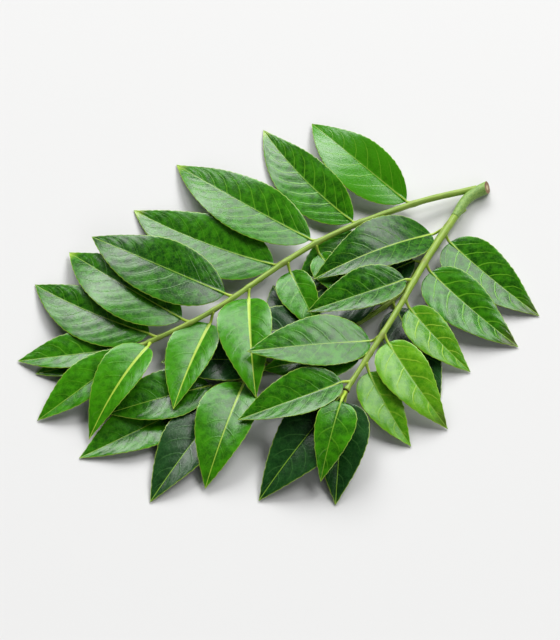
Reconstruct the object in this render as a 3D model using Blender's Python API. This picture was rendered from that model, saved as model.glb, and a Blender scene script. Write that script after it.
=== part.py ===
"""Curry leaf sprig, cut from the bush and laid on a flat surface.

A short twig carries three compound leaves. Each has a rachis, the thin stalk along its middle, with
leaflets on both sides of it. The long leaf runs to the left, the short one towards the front, and the
under one lies on the surface below both. Every leaflet is one closed body with a stalklet of its own,
which ends a hair's breadth from the rachis that bears it.

The leaflets are laid one at a time, the lowest first. Each sinks until it rests on the surface or on
the leaflets below it, so only its size and direction are given, and its heights follow from the pile.

Lengths are in millimetres and angles in degrees, and the vertices are made in metres. +X is to the
right, +Y is away to the back and +Z is up from the surface.
"""

from collections import namedtuple
from math import atan2, cos, degrees, pi, radians, sin

import bmesh
import bpy
import numpy as np
from mathutils import Euler, Vector

MM = 0.001
GAP = 0.3  # clear space between the end of one piece and the next
FOOTPRINT_MIDDLE = (0.3, 7.7)  # where the middle of the laid-out sprig falls before it is centred

# ---- driving dimensions of the stems ----

TWIG_SIDES = 12
RACHIS_SIDES = 8
RING_SPACING = 5.0  # along a stem
ROUTE_STEP = 20  # short pieces in the curve between two points of a route
SHARP_EDGE = 40  # degrees between faces, past which an edge is not smoothed
LONG_STUB = 10.0  # how much of the long rachis is one piece with the twig
UNDER_STUB = 8.5

# A route is a few places that the stem's axis passes, and the curve between them is worked out below.
Stem = namedtuple("Stem", "sides start_radius end_radius route")
STEMS = {
    "twig": Stem(TWIG_SIDES, 2.3, 1.6, ((78, 57, 2.5), (69, 51, 3.0), (63, 41, 4.5))),
    "long": Stem(RACHIS_SIDES, 1.2, 0.8, (
        (72, 55, 3.0), (47, 46, 5.0), (13, 28, 7.0), (-23, -1, 8.0), (-49, -15, 6.0),
    )),
    "short": Stem(RACHIS_SIDES, 1.4, 0.8, ((63, 41, 4.5), (51, 19, 8.0), (38, -7, 11.0), (22, -34, 10.0))),
    "under": Stem(RACHIS_SIDES, 1.1, 0.8, (
        (67, 46, 2.8), (61, 40, 1.5), (40, 8, 1.3), (10, -12, 1.3), (-30, -34, 1.3),
    )),
}

# ---- driving dimensions of the leaflets ----

STALKLET_RADIUS = 0.6
SHORTEST_STALKLET = 0.5
MOST_SLANT = 0.8  # cosine of the sharpest angle between a stalklet and its stem
RIB_THICKNESS = 0.9  # through the midrib
BLADE_THICKNESS = 0.4  # halfway from the midrib to the margin
THINNING = 0.6  # how much of its thickness the blade has lost at the tip
MARGIN_DROOP = 0.10  # how far a margin sinks below a flat half, as a part of its width
TIP_TAPER = 1.05  # how soon the outline narrows towards the tip
STATIONS = (0.04, 0.12, 0.24, 0.38, 0.53, 0.68, 0.81, 0.92)  # cross-sections from base to tip

# ---- how the pile lies ----

CLEARANCE = 0.8  # between a leaflet and what it rests on
FLOOR_CLEARANCE = 0.1
TIP_HEIGHT = 0.3  # of a leaflet tip that reaches the surface
CELL = 1.0  # the pile's height is kept on squares of this size
FIELD = 120  # half the side of the field of squares
HEIGHT_STEP = 0.5
BASE_PULL = 0.3  # how much a leaflet's weight pulls its base and tip down, against its middle
TIP_PULL = 0.6
SINK_PUSH = 8.0  # how hard a leaflet is pushed up for each millimetre that it would sink into the pile
STALKLET_GIVE = 0.5  # how far a stalklet tilts up or down, as a part of its reach
LEAST_ARCH = 0.025  # how high a midrib arches, as a part of its length
MOST_ARCH = 0.09
STEEPEST = 0.42  # from base to tip, as a part of its length
ARCHES = 8  # how many arches are tried
BLADE_END = 0.03  # the part of a blade at its base and tip that rests on nothing
BESIDE_RACHIS = 0.15  # the part of a blade that runs beside the rachis that bears it
RESTING_POINTS = (45, 25)  # along and across a blade, where it may rest on the pile
COVERING_POINTS = (110, 81)  # along and across a blade, close enough to cover every square below it

# A row is the leaflets along one side of a stem. Of a pair of values, the first leaflet of the row has
# the first and the last leaflet the second, and those between them go from one to the other in even steps.
#
# side     of the stem, as seen on the way from the twig: 1 is left and -1 is right
# numbers  of the leaflets, outwards
# places   how far along the stem they grow, or its end where that comes first
# splay    how far the blades point away from the stem's own direction
# curl     how much a blade turns on its way to the tip, where a turn to its left counts up
# length   of the blades; left and right are half widths, as parts of it
# widest   where a blade is widest, from 0 at the base to 1 at the tip
# fold     lifts both halves, and roll lifts the left half and lowers the right one
Row = namedtuple("Row", "stem side numbers places splay curl length left right widest fold roll")
ROWS = (
    Row("long", -1, (1, 3, 5, 7, 9, 11, 12), (28, 137), (72, 60), -22, (57, 49), 0.23, 0.20, 0.38, 11, -6),
    Row("long", 1, (4, 6, 8, 10, 13), (62, 136), (88, 29), 6, (24, 39), 0.22, 0.29, 0.32, 17, 13),
    Row("long", 1, (2,), (46, 46), (18, 18), 0, (33, 33), 0.25, 0.25, 0.40, 10, 0),
    Row("long", -1, (14, 15, 16), (140, 140), (-12, 25), -10, (39, 39), 0.15, 0.22, 0.45, 10, 0),
    Row("short", 1, (2, 3, 5, 6, 9), (11, 73), (75, 56), 14, (44, 29), 0.23, 0.29, 0.32, 12, 2),
    Row("short", -1, (1, 4, 7, 10), (11, 82), (38, 44), -6, (42, 37), 0.23, 0.26, 0.35, 13, 1),
    Row("short", -1, (8,), (70, 70), (56, 56), 0, (33, 33), 0.25, 0.25, 0.40, 8, 0),
    Row("short", 1, (11, 13, 12), (86, 87), (21, -4), 4, (36, 45), 0.28, 0.24, 0.30, 10, 0),
    Row("under", -1, (1, 3, 5, 6, 8), (28, 121), (32, 18), 0, (32, 36), 0.26, 0.28, 0.40, 8, 0),
    Row("under", 1, (2, 7, 9), (42, 120), (62, 22), 0, (38, 43), 0.22, 0.28, 0.35, 12, 3),
    Row("under", -1, (4,), (86, 86), (100, 100), 0, (26, 26), 0.28, 0.28, 0.40, 8, 0),
    Row("under", -1, (10,), (131, 131), (6, 6), -6, (35, 35), 0.24, 0.30, 0.28, 12, 0),
)

# The leaflets that lie apart from their row.
# turn   turns the blade to its left; size and width are against the row's, and width leaves the length
# slide  moves the leaflet out along the stem; reach makes its stalklet longer
Departure = namedtuple("Departure", "turn size width slide reach", defaults=(0, 1.0, 1.0, 0, 0))
DEPARTURES = {
    ("long", 1): Departure(size=0.9, width=0.95, slide=-3),
    ("long", 3): Departure(turn=-12, width=0.85, slide=1),
    ("long", 4): Departure(slide=4),
    ("long", 5): Departure(turn=-3, size=1.15, width=0.85),
    ("long", 6): Departure(slide=-2),
    ("long", 7): Departure(turn=-2, size=1.1, slide=-2),
    ("long", 8): Departure(turn=-5, size=1.25, slide=-3, reach=1),
    ("long", 9): Departure(turn=-3, size=1.05, slide=2),
    ("long", 10): Departure(turn=-7, slide=-6, reach=1),
    ("long", 11): Departure(turn=-5, size=1.05, slide=2),
    ("long", 12): Departure(turn=4, slide=-4),
    ("long", 13): Departure(turn=5, size=0.95, width=0.9),
    ("long", 14): Departure(turn=-3),
    ("long", 15): Departure(turn=-10, size=0.85),
    ("short", 1): Departure(turn=4, size=1.15, width=0.95, slide=-6, reach=3),
    ("short", 2): Departure(size=0.95, slide=-2),
    ("short", 3): Departure(turn=4, slide=-1),
    ("short", 4): Departure(turn=-5, size=0.9),
    ("short", 5): Departure(turn=5, size=0.8, slide=2),
    ("short", 6): Departure(turn=4, size=1.05, slide=3),
    ("short", 7): Departure(turn=-8, size=1.1, slide=4),
    ("short", 9): Departure(turn=5, size=0.95),
    ("short", 10): Departure(turn=5),
    ("short", 11): Departure(turn=4, size=0.95),
    ("short", 12): Departure(turn=-4, size=0.95),
    ("short", 13): Departure(turn=7, size=0.65, reach=3),
    ("under", 2): Departure(turn=5, slide=6),
    ("under", 6): Departure(turn=-4),
    ("under", 7): Departure(turn=2, slide=27),
    ("under", 8): Departure(turn=8, slide=-3),
    ("under", 9): Departure(turn=7, width=0.9, slide=-4, reach=3),
    ("under", 10): Departure(turn=6, size=1.1),
}

# The order in which the leaflets are laid, from the bottom of the pile to its top.
LAYING_ORDER = (
    ("under", (10, 9, 2, 1, 3, 4, 8, 6, 5, 7)),
    ("short", (11, 12, 8)),
    ("long", (2, 4, 6, 15, 16, 14, 12, 11, 7, 9, 3, 5, 13, 10, 8)),
    ("short", (10, 13)),
    ("long", (1,)),
    ("short", (9, 2, 3, 5, 6, 1, 4, 7)),
)
YOUNG = {"short": (5, 6, 9)}
SHADED = {"short": (11, 12), "under": (1, 2, 3, 4, 5, 6, 9)}

STALKLET_REACH = 3.5  # from the stem's axis to where a blade begins
LEAST_STALKLET_SPLAY = 50  # a stalklet leaves the side of a stem at least this steeply
STEM_TIP = 3.0  # a leaflet this close to the end of a stem grows out of the end

# ---- colour, roughness ----

TONES = {
    "mature": ((0.021, 0.156, 0.007), 0.42),
    "young": ((0.156, 0.402, 0.007), 0.40),
    "shaded": ((0.005, 0.045, 0.005), 0.45),
    "rachis": ((0.305, 0.456, 0.045), 0.45),
    "twig": ((0.156, 0.305, 0.061), 0.55),
}


def make_material(name, tone):
    colour, roughness = TONES[tone]
    material = bpy.data.materials.new(name)
    material.use_nodes = True
    shader = material.node_tree.nodes["Principled BSDF"]
    shader.inputs["Base Color"].default_value = (*colour, 1.0)
    shader.inputs["Roughness"].default_value = roughness
    shader.inputs["Metallic"].default_value = 0.0
    material.diffuse_color = (*colour, 1.0)
    return material


# ---- lofting ----


def frame(direction):
    """Unit vectors to the left of a direction and up from it."""
    left = Vector((0, 0, 1)).cross(direction).normalized()
    return left, direction.cross(left).normalized()


def round_ring(centre, direction, radius, sides):
    """A ring of points that starts at the left of the direction and goes over the top."""
    left, up = frame(direction)
    turns = [2 * pi * side / sides for side in range(sides)]
    return [centre + radius * (cos(turn) * left + sin(turn) * up) for turn in turns]


def place(vertices, ring):
    for vertex, point in zip(vertices, ring):
        vertex.co = point * MM


def extruded_ring(bm, vertices):
    """Extrude a ring of vertices and return the new ones in the same order."""
    pairs = [set(pair) for pair in zip(vertices, vertices[1:] + vertices[:1])]
    edges = [edge for edge in bm.edges if set(edge.verts) in pairs]
    grown = set(bmesh.ops.extrude_edge_only(bm, edges=edges)["geom"])
    ring = []
    for vertex in vertices:
        ring += [edge.other_vert(vertex) for edge in vertex.link_edges if edge.other_vert(vertex) in grown]
    return ring


def loft(rings, tip=None):
    """A closed mesh through a list of rings, which may end in a point."""
    bm = bmesh.new()
    vertices = bmesh.ops.create_circle(bm, cap_ends=True, segments=len(rings[0]), radius=MM)["verts"]
    place(vertices, rings[0])
    for ring in rings[1:]:
        vertices = extruded_ring(bm, vertices)
        place(vertices, ring)
    if tip is None:
        bmesh.ops.holes_fill(bm, edges=bm.edges, sides=0)
    else:
        vertices = extruded_ring(bm, vertices)
        bmesh.ops.pointmerge(bm, verts=vertices, merge_co=tip * MM)
    bmesh.ops.recalc_face_normals(bm, faces=bm.faces)
    if bm.calc_volume(signed=True) < 0:
        bmesh.ops.reverse_faces(bm, faces=bm.faces)
    mesh = bpy.data.meshes.new("loft")
    bm.to_mesh(mesh)
    bm.free()
    return mesh


# ---- stems ----


def smooth_route(points):
    """A Catmull-Rom curve through the points, as close points with the distance to each."""
    points = [Vector(point) for point in points]
    points = [2 * points[0] - points[1]] + points + [2 * points[-1] - points[-2]]
    curve = []
    for a, b, c, d in zip(points, points[1:], points[2:], points[3:]):
        for piece in range(ROUTE_STEP):
            t = piece / ROUTE_STEP
            curve.append(0.5 * (2 * b + (c - a) * t + (2 * a - 5 * b + 4 * c - d) * t**2
                                + (3 * b - a - 3 * c + d) * t**3))
    curve.append(points[-2])
    distances = [0.0]
    for start, end in zip(curve, curve[1:]):
        distances.append(distances[-1] + (end - start).length)
    return curve, distances


ROUTES = {name: smooth_route(stem.route) for name, stem in STEMS.items()}


def stem_length(name):
    return ROUTES[name][1][-1]


def stem_point(name, distance):
    """The axis point at a distance along a stem, the direction there and the stem's radius."""
    curve, distances = ROUTES[name]
    index = next((i for i, reached in enumerate(distances) if reached >= distance), len(curve) - 1)
    index = max(index, 1)
    start, end = curve[index - 1], curve[index]
    share = (distance - distances[index - 1]) / (distances[index] - distances[index - 1])
    along = distance / distances[-1]
    stem = STEMS[name]
    radius = stem.start_radius + (stem.end_radius - stem.start_radius) * along
    return start.lerp(end, share), (end - start).normalized(), radius


def stem_mesh(name, start=0.0, end=None):
    """The tube along one stretch of a stem, with flat ends."""
    end = stem_length(name) if end is None else end
    count = max(2, round((end - start) / RING_SPACING) + 1)
    rings = []
    for step in range(count):
        point, direction, radius = stem_point(name, start + (end - start) * step / (count - 1))
        rings.append(round_ring(point, direction, radius, STEMS[name].sides))
    return loft(rings)


def add_object(name, mesh, tone, parent):
    mesh.name = name
    item = bpy.data.objects.new(name, mesh)
    bpy.context.scene.collection.objects.link(item)
    item.parent = parent
    mesh.materials.append(make_material(name, tone))
    mesh.shade_smooth()
    mesh.set_sharp_from_angle(angle=radians(SHARP_EDGE))
    return item


def add_stems(parent):
    """The twig with the stubs that grow out of it, and the three rachises beyond them."""
    twig = add_object("twig", stem_mesh("twig"), "twig", parent)
    for name, stub_length in (("long", LONG_STUB), ("under", UNDER_STUB)):
        stub = add_object(f"{name}_stub", stem_mesh(name, 0.0, stub_length), "twig", parent)
        stub.hide_render = True
        stub.display_type = "WIRE"
        union = twig.modifiers.new(f"{name}_stub", "BOOLEAN")
        union.operation = "UNION"
        union.solver = "EXACT"
        union.object = stub
    add_object("long_rachis", stem_mesh("long", LONG_STUB + GAP), "rachis", parent)
    add_object("short_rachis", stem_mesh("short", GAP), "rachis", parent)
    add_object("under_rachis", stem_mesh("under", UNDER_STUB + GAP), "rachis", parent)


# ---- leaflets ----

# bend is how far the stalklet turns away from the blade's own direction
Leaflet = namedtuple(
    "Leaflet", "stem number at reach bend heading curl length left right widest fold roll tone"
)


def tone_of(stem, number):
    if number in YOUNG.get(stem, ()):
        return "young"
    return "shaded" if number in SHADED.get(stem, ()) else "mature"


def leaflets_of(row):
    """The leaflets of one row, each with its own place, heading and size."""
    steps = (np.linspace(*pair, len(row.numbers)) for pair in (row.places, row.splay, row.length))
    for number, at, splay, length in zip(row.numbers, *steps):
        departure = DEPARTURES.get((row.stem, number), Departure())
        at = min(float(at) + departure.slide, stem_length(row.stem))
        _, direction, _ = stem_point(row.stem, at)
        heading = degrees(atan2(direction.y, direction.x)) + row.side * float(splay) + departure.turn
        length = float(length) * departure.size
        wide = length * departure.width
        at_tip = stem_length(row.stem) - at < STEM_TIP
        bend = 0 if at_tip else row.side * max(0, LEAST_STALKLET_SPLAY - float(splay))
        yield Leaflet(
            row.stem, number, at, STALKLET_REACH + departure.reach, bend, heading, row.curl, length,
            row.left * wide, row.right * wide, row.widest, row.fold, row.roll,
            tone_of(row.stem, number),
        )


def laid_leaflets():
    """All leaflets, the lowest of the pile first."""
    grown = {(leaflet.stem, leaflet.number): leaflet for row in ROWS for leaflet in leaflets_of(row)}
    return [grown[stem, number] for stem, numbers in LAYING_ORDER for number in numbers]


LEAFLETS = laid_leaflets()


class Blade:
    """Where a leaflet's blade lies. Its three heights are set when it is laid on the pile."""

    def __init__(self, leaflet):
        self.leaflet = leaflet
        self.stem_point, stem_direction, stem_radius = stem_point(leaflet.stem, leaflet.at)
        self.start = radians(leaflet.heading - leaflet.curl / 2)
        self.turn = radians(leaflet.curl)
        away = Vector((1, 0, 0))
        away.rotate(Euler((0, 0, self.start + radians(leaflet.bend))))
        along = min(abs(away.dot(stem_direction)), MOST_SLANT)
        self.foot = (stem_radius + GAP + STALKLET_RADIUS * along) / (1 - along**2)**0.5
        reach = max(leaflet.reach, self.foot + SHORTEST_STALKLET)
        self.x, self.y, _ = self.stem_point + reach * away
        self.outline_power = TIP_TAPER * leaflet.widest / (1 - leaflet.widest)
        self.heights = (0.0, 0.0, 0.0)

    def half_width(self, u):
        """The outline's half width at u from base to tip, as a part of the widest one."""
        widest = self.leaflet.widest
        full = widest**self.outline_power * (1 - widest)**TIP_TAPER
        return u**self.outline_power * (1 - u)**TIP_TAPER / full

    def plan(self, u, across):
        """The place seen from above of a point across the blade, with +1 at the left margin."""
        direction = self.start + self.turn * u
        if self.turn == 0:
            x = self.x + self.leaflet.length * u * np.cos(direction)
            y = self.y + self.leaflet.length * u * np.sin(direction)
        else:
            bow = self.leaflet.length / self.turn
            x = self.x + bow * (np.sin(direction) - sin(self.start))
            y = self.y - bow * (np.cos(direction) - cos(self.start))
        side = self.side_width(u, across) * np.cos(self.side_tilt(across)) * across
        return x - side * np.sin(direction), y + side * np.cos(direction)

    def side_width(self, u, across):
        return np.where(across >= 0, self.leaflet.left, self.leaflet.right) * self.half_width(u)

    def side_tilt(self, across):
        fold, roll = self.leaflet.fold, self.leaflet.roll
        return np.radians(np.where(across >= 0, fold + roll, fold - roll))

    def lift(self, u, across):
        """How far a point of the blade is above the midrib."""
        out = np.abs(across)
        return self.side_width(u, across) * (out * np.sin(self.side_tilt(across)) - MARGIN_DROOP * out**2)

    @staticmethod
    def shares(u):
        """What the base, middle and tip heights give to the midrib's height at u."""
        return (1 - u) * (1 - 2 * u), 4 * u * (1 - u), u * (2 * u - 1)

    def midrib_height(self, u):
        return sum(share * height for share, height in zip(self.shares(u), self.heights))

    def point(self, u, across, above=0.0):
        x, y = self.plan(u, across)
        z = self.midrib_height(u) + self.lift(u, across) + above
        return Vector((float(x), float(y), float(z)))


def half_thickness(u, across):
    """Half the blade's thickness, from the midrib to the margin, which is an edge."""
    across_share = np.interp(np.abs(across), (0, 0.5, 1), (RIB_THICKNESS / 2, BLADE_THICKNESS / 2, 0))
    return across_share * (1 - THINNING * u)


def blade_points(counts, end=0.0):
    """Evenly spread values of u and across that cover a blade, less its ends."""
    along, across = np.linspace(end, 1 - end, counts[0]), np.linspace(-1, 1, counts[1])
    return [grid.ravel() for grid in np.meshgrid(along, across)]


def cells(x, y):
    return np.int64(np.floor(x / CELL)) + FIELD, np.int64(np.floor(y / CELL)) + FIELD


def start_pile():
    """The height of what already lies there, which is the bare surface."""
    return np.full((2 * FIELD, 2 * FIELD), FLOOR_CLEARANCE - CLEARANCE)


def rachis_pile():
    """The height of the under rachis, which the leaflets of the other stems lie on."""
    pile = start_pile()
    for distance in np.arange(0, stem_length("under"), CELL / 2):
        point, direction, radius = stem_point("under", float(distance))
        left, _ = frame(direction)
        for side in (-1, -0.5, 0, 0.5, 1):
            spot = point + side * radius * left
            cell = cells(spot.x, spot.y)
            pile[cell] = max(pile[cell], point.z + radius * (1 - side**2)**0.5)
    return pile


def lay(blade, pile, rachis):
    """Lower a blade until it rests on the pile, and add it to the pile."""
    leaflet = blade.leaflet
    u, across = blade_points(RESTING_POINTS, BLADE_END)
    spots = cells(*blade.plan(u, across))
    below = pile[spots]
    crossing = u > BESIDE_RACHIS if leaflet.stem == "under" else u > 0
    below[crossing] = np.maximum(below, rachis[spots])[crossing]
    needed = below + CLEARANCE + half_thickness(u, across) - blade.lift(u, across)

    start = blade.stem_point.z
    give = STALKLET_GIVE * (1 + leaflet.reach)
    bases = np.arange(max(RIB_THICKNESS / 2, start - give), start + give, HEIGHT_STEP)
    tips = np.arange(TIP_HEIGHT, start + STEEPEST * leaflet.length, HEIGHT_STEP)
    arches = np.linspace(LEAST_ARCH, MOST_ARCH, ARCHES) * leaflet.length
    base, tip, arch = (grid.ravel() for grid in np.meshgrid(bases, tips, arches))
    middle = (base + tip) / 2 + arch
    shares = blade.shares(u)
    height = np.outer(shares[0], base) + np.outer(shares[1], middle) + np.outer(shares[2], tip)
    sunk = np.max(needed[:, None] - height, axis=0).clip(0)
    steep = (np.abs(base - tip) - STEEPEST * leaflet.length).clip(0)
    best = np.argmin(BASE_PULL * base + middle + TIP_PULL * tip + SINK_PUSH * sunk + SINK_PUSH * steep)
    blade.heights = (base[best], middle[best], tip[best])

    u, across = blade_points(COVERING_POINTS)
    top = blade.midrib_height(u) + blade.lift(u, across) + half_thickness(u, across)
    np.maximum.at(pile, cells(*blade.plan(u, across)), top)


def blade_ring(blade, u):
    """A cross-section with two margins, a midrib and a point between on each half and side."""
    outline = ((1, 0), (0.5, 1), (0, 1), (-0.5, 1), (-1, 0), (-0.5, -1), (0, -1), (0.5, -1))
    return [blade.point(u, across, face * float(half_thickness(u, across))) for across, face in outline]


def leaflet_mesh(blade):
    """The stalklet and the blade as one body that ends in a point."""
    base = blade.point(0.0, 0.0)
    stalk = (base - blade.stem_point).normalized()
    foot = blade.stem_point + stalk * blade.foot
    heading = Vector((cos(blade.start), sin(blade.start), 0))
    rings = [
        round_ring(foot, stalk, STALKLET_RADIUS, 8),
        round_ring(base, (stalk + heading).normalized(), 0.9 * STALKLET_RADIUS, 8),
    ]
    rings += [blade_ring(blade, u) for u in STATIONS]
    return loft(rings, tip=blade.point(1.0, 0.0))


def add_leaflets(parent):
    pile, rachis = start_pile(), rachis_pile()
    for leaflet in LEAFLETS:
        blade = Blade(leaflet)
        lay(blade, pile, rachis)
        name = f"{leaflet.stem}_leaflet_{leaflet.number:02d}"
        add_object(name, leaflet_mesh(blade), leaflet.tone, parent)


def main():
    for item in list(bpy.data.objects):
        bpy.data.objects.remove(item)
    sprig = bpy.data.objects.new("sprig", None)
    bpy.context.scene.collection.objects.link(sprig)
    sprig.location = (-FOOTPRINT_MIDDLE[0] * MM, -FOOTPRINT_MIDDLE[1] * MM, 0)
    add_stems(sprig)
    add_leaflets(sprig)


main()
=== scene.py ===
# %% [markdown]
# # A sprig of curry leaves
#
# A cut sprig of the curry tree lies flat on a pale table. Its green twig splits into three
# rachises, the thin stalks that bear the leaflets, and thirty-nine leaflets lie on each other in
# a low pile. Each leaflet is one blade with its own short stalklet.
#
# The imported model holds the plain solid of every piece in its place. This lesson puts a finer
# piece over each of them: blades a quarter of a millimetre thick with veins, ribs and uneven
# margins, and stems with swellings where the leaflets grow.

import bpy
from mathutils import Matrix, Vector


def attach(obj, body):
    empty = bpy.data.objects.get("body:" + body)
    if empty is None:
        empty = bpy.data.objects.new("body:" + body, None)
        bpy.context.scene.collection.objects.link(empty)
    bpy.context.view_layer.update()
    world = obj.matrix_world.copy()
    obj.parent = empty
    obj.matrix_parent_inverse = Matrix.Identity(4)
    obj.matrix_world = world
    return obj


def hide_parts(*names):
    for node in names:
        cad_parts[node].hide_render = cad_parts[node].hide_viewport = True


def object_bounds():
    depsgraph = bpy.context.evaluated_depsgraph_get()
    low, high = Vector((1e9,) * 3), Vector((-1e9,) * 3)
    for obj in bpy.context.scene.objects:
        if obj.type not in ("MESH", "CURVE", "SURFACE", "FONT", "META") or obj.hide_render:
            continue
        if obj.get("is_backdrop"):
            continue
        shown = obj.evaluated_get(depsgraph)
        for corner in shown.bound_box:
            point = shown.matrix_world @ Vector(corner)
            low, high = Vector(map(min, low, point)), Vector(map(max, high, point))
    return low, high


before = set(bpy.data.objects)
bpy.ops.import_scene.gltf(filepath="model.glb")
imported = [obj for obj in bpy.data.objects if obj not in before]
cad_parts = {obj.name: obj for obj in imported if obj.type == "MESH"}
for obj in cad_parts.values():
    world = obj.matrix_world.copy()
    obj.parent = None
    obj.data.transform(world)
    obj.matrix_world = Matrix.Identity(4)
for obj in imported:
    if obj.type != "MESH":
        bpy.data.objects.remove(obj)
cad_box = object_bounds()
cad_sides = [round(1000 * side) for side in cad_box[1] - cad_box[0]]
print(f"{len(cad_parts)} plain pieces in a box of {cad_sides} mm")

# %% [markdown]
# Everything is worked out in millimetres, because a leaf is small, and turned into Blender's
# metres when a mesh is made. The stems and blades are planned around the twig's own reference
# point, and the model is centred on its box, so one shift takes a plan point to its place.

# %% Units and modules
from collections import namedtuple
from math import atan2, cos, degrees, pi, radians, sin

import bmesh
import bpy
import numpy as np
from mathutils import Vector

MM = 0.001
PLAN_SHIFT = np.array((-0.3, -7.7, 0.0))  # from the plan's zero point to the model's
print("the plan is moved by", PLAN_SHIFT, "mm")

# %% [markdown]
# The stems are round and taper, so a stem is a route and two radii. A Catmull-Rom curve passes
# through all the points of its route, which a Bezier curve would only pull towards, so it needs
# no handles and a short list of points is enough.

# %% Routes of the stems
ROUTE_STEP = 20  # short pieces in the curve between two points of a route

Stem = namedtuple("Stem", "start_radius end_radius route")
STEMS = {
    "twig": Stem(2.3, 1.6, ((78, 57, 2.5), (69, 51, 3.0), (63, 41, 4.5))),
    "long": Stem(1.2, 0.8, ((72, 55, 3.0), (47, 46, 5.0), (13, 28, 7.0), (-23, -1, 8.0), (-49, -15, 6.0))),
    "short": Stem(1.4, 0.8, ((63, 41, 4.5), (51, 19, 8.0), (38, -7, 11.0), (22, -34, 10.0))),
    "under": Stem(1.1, 0.8, (
        (67, 46, 2.8), (61, 40, 1.5), (40, 8, 1.3), (10, -12, 1.3), (-30, -34, 1.3),
    )),
}


def smooth_route(points):
    """A Catmull-Rom curve through the points, as close points with the distance to each."""
    points = np.array(points, float)
    points = np.vstack((2 * points[0] - points[1], points, 2 * points[-1] - points[-2]))
    t = np.linspace(0, 1, ROUTE_STEP, endpoint=False)[:, None]
    curve = [
        0.5 * (2 * b + (c - a) * t + (2 * a - 5 * b + 4 * c - d) * t**2 + (3 * b - a - 3 * c + d) * t**3)
        for a, b, c, d in zip(points, points[1:], points[2:], points[3:])
    ]
    curve = np.vstack((*curve, points[-2]))
    steps = np.linalg.norm(np.diff(curve, axis=0), axis=1)
    return curve, np.concatenate(((0.0,), np.cumsum(steps)))


ROUTES = {name: smooth_route(stem.route) for name, stem in STEMS.items()}


def end_of(name):
    """The length of a stem."""
    return ROUTES[name][1][-1]


def radius_of(name, share):
    """A stem's radius at a part of its length."""
    stem = STEMS[name]
    return stem.start_radius + (stem.end_radius - stem.start_radius) * share


def stem_points(name, distances):
    """Points on a stem's axis and its directions there."""
    curve, reached = ROUTES[name]
    along = [np.interp(distances, reached, curve[:, axis]) for axis in range(3)]
    steps = np.diff(curve, axis=0, append=2 * curve[-1:] - curve[-2:-1])
    ahead = np.stack([np.interp(distances, reached, steps[:, axis]) for axis in range(3)], axis=-1)
    return np.stack(along, axis=-1), ahead / np.linalg.norm(ahead, axis=-1, keepdims=True)


print({name: f"{end_of(name):.0f} mm" for name in ROUTES})

# %% [markdown]
# Leaflets grow in rows, one on each side of a rachis, and a row changes evenly from the twig
# outwards: the first blades stand off more and are longer than the last. So a row is one line of
# driving dimensions. Where it holds a pair of values, the first leaflet has the first, the last
# leaflet the second, and those between go from one to the other in even steps.
#
# - side is 1 to the left of the way the stem grows and -1 to its right, and numbers run outwards.
# - places are distances along the stem, at most its end.
# - splay is how far a blade points away from the stem.
# - curl is how much a blade turns on its way to the tip, where a turn to its left counts up.
# - left and right are half widths as parts of the length, and widest is where, from base to tip.
# - fold lifts both halves, and roll lifts the left half and lowers the right one.

# %% Rows of leaflets
Row = namedtuple("Row", "stem side numbers places splay curl length left right widest fold roll")
ROWS = (
    Row("long", -1, (1, 3, 5, 7, 9, 11, 12), (28, 137), (72, 60), -22, (57, 49), 0.23, 0.20, 0.38, 11, -6),
    Row("long", 1, (4, 6, 8, 10, 13), (62, 136), (88, 29), 6, (24, 39), 0.22, 0.29, 0.32, 17, 13),
    Row("long", 1, (2,), (46, 46), (18, 18), 0, (33, 33), 0.25, 0.25, 0.40, 10, 0),
    Row("long", -1, (14, 15, 16), (140, 140), (-12, 25), -10, (39, 39), 0.15, 0.22, 0.45, 10, 0),
    Row("short", 1, (2, 3, 5, 6, 9), (11, 73), (75, 56), 14, (44, 29), 0.23, 0.29, 0.32, 12, 2),
    Row("short", -1, (1, 4, 7, 10), (11, 82), (38, 44), -6, (42, 37), 0.23, 0.26, 0.35, 13, 1),
    Row("short", -1, (8,), (70, 70), (56, 56), 0, (33, 33), 0.25, 0.25, 0.40, 8, 0),
    Row("short", 1, (11, 13, 12), (86, 87), (21, -4), 4, (36, 45), 0.28, 0.24, 0.30, 10, 0),
    Row("under", -1, (1, 3, 5, 6, 8), (28, 121), (32, 18), 0, (32, 36), 0.26, 0.28, 0.40, 8, 0),
    Row("under", 1, (2, 7, 9), (42, 120), (62, 22), 0, (38, 43), 0.22, 0.28, 0.35, 12, 3),
    Row("under", -1, (4,), (86, 86), (100, 100), 0, (26, 26), 0.28, 0.28, 0.40, 8, 0),
    Row("under", -1, (10,), (131, 131), (6, 6), -6, (35, 35), 0.24, 0.30, 0.28, 12, 0),
)

print(len(ROWS), "rows with", sum(len(row.numbers) for row in ROWS), "leaflets")

# %% [markdown]
# A real sprig isn't quite so even. The departures say which leaflets lie apart from their row:
# turned a little, larger or narrower, moved along the stem, or on a longer stalklet. With all of
# them left out the sprig would still be whole, only stiffer, like a drawing in a book.

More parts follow.
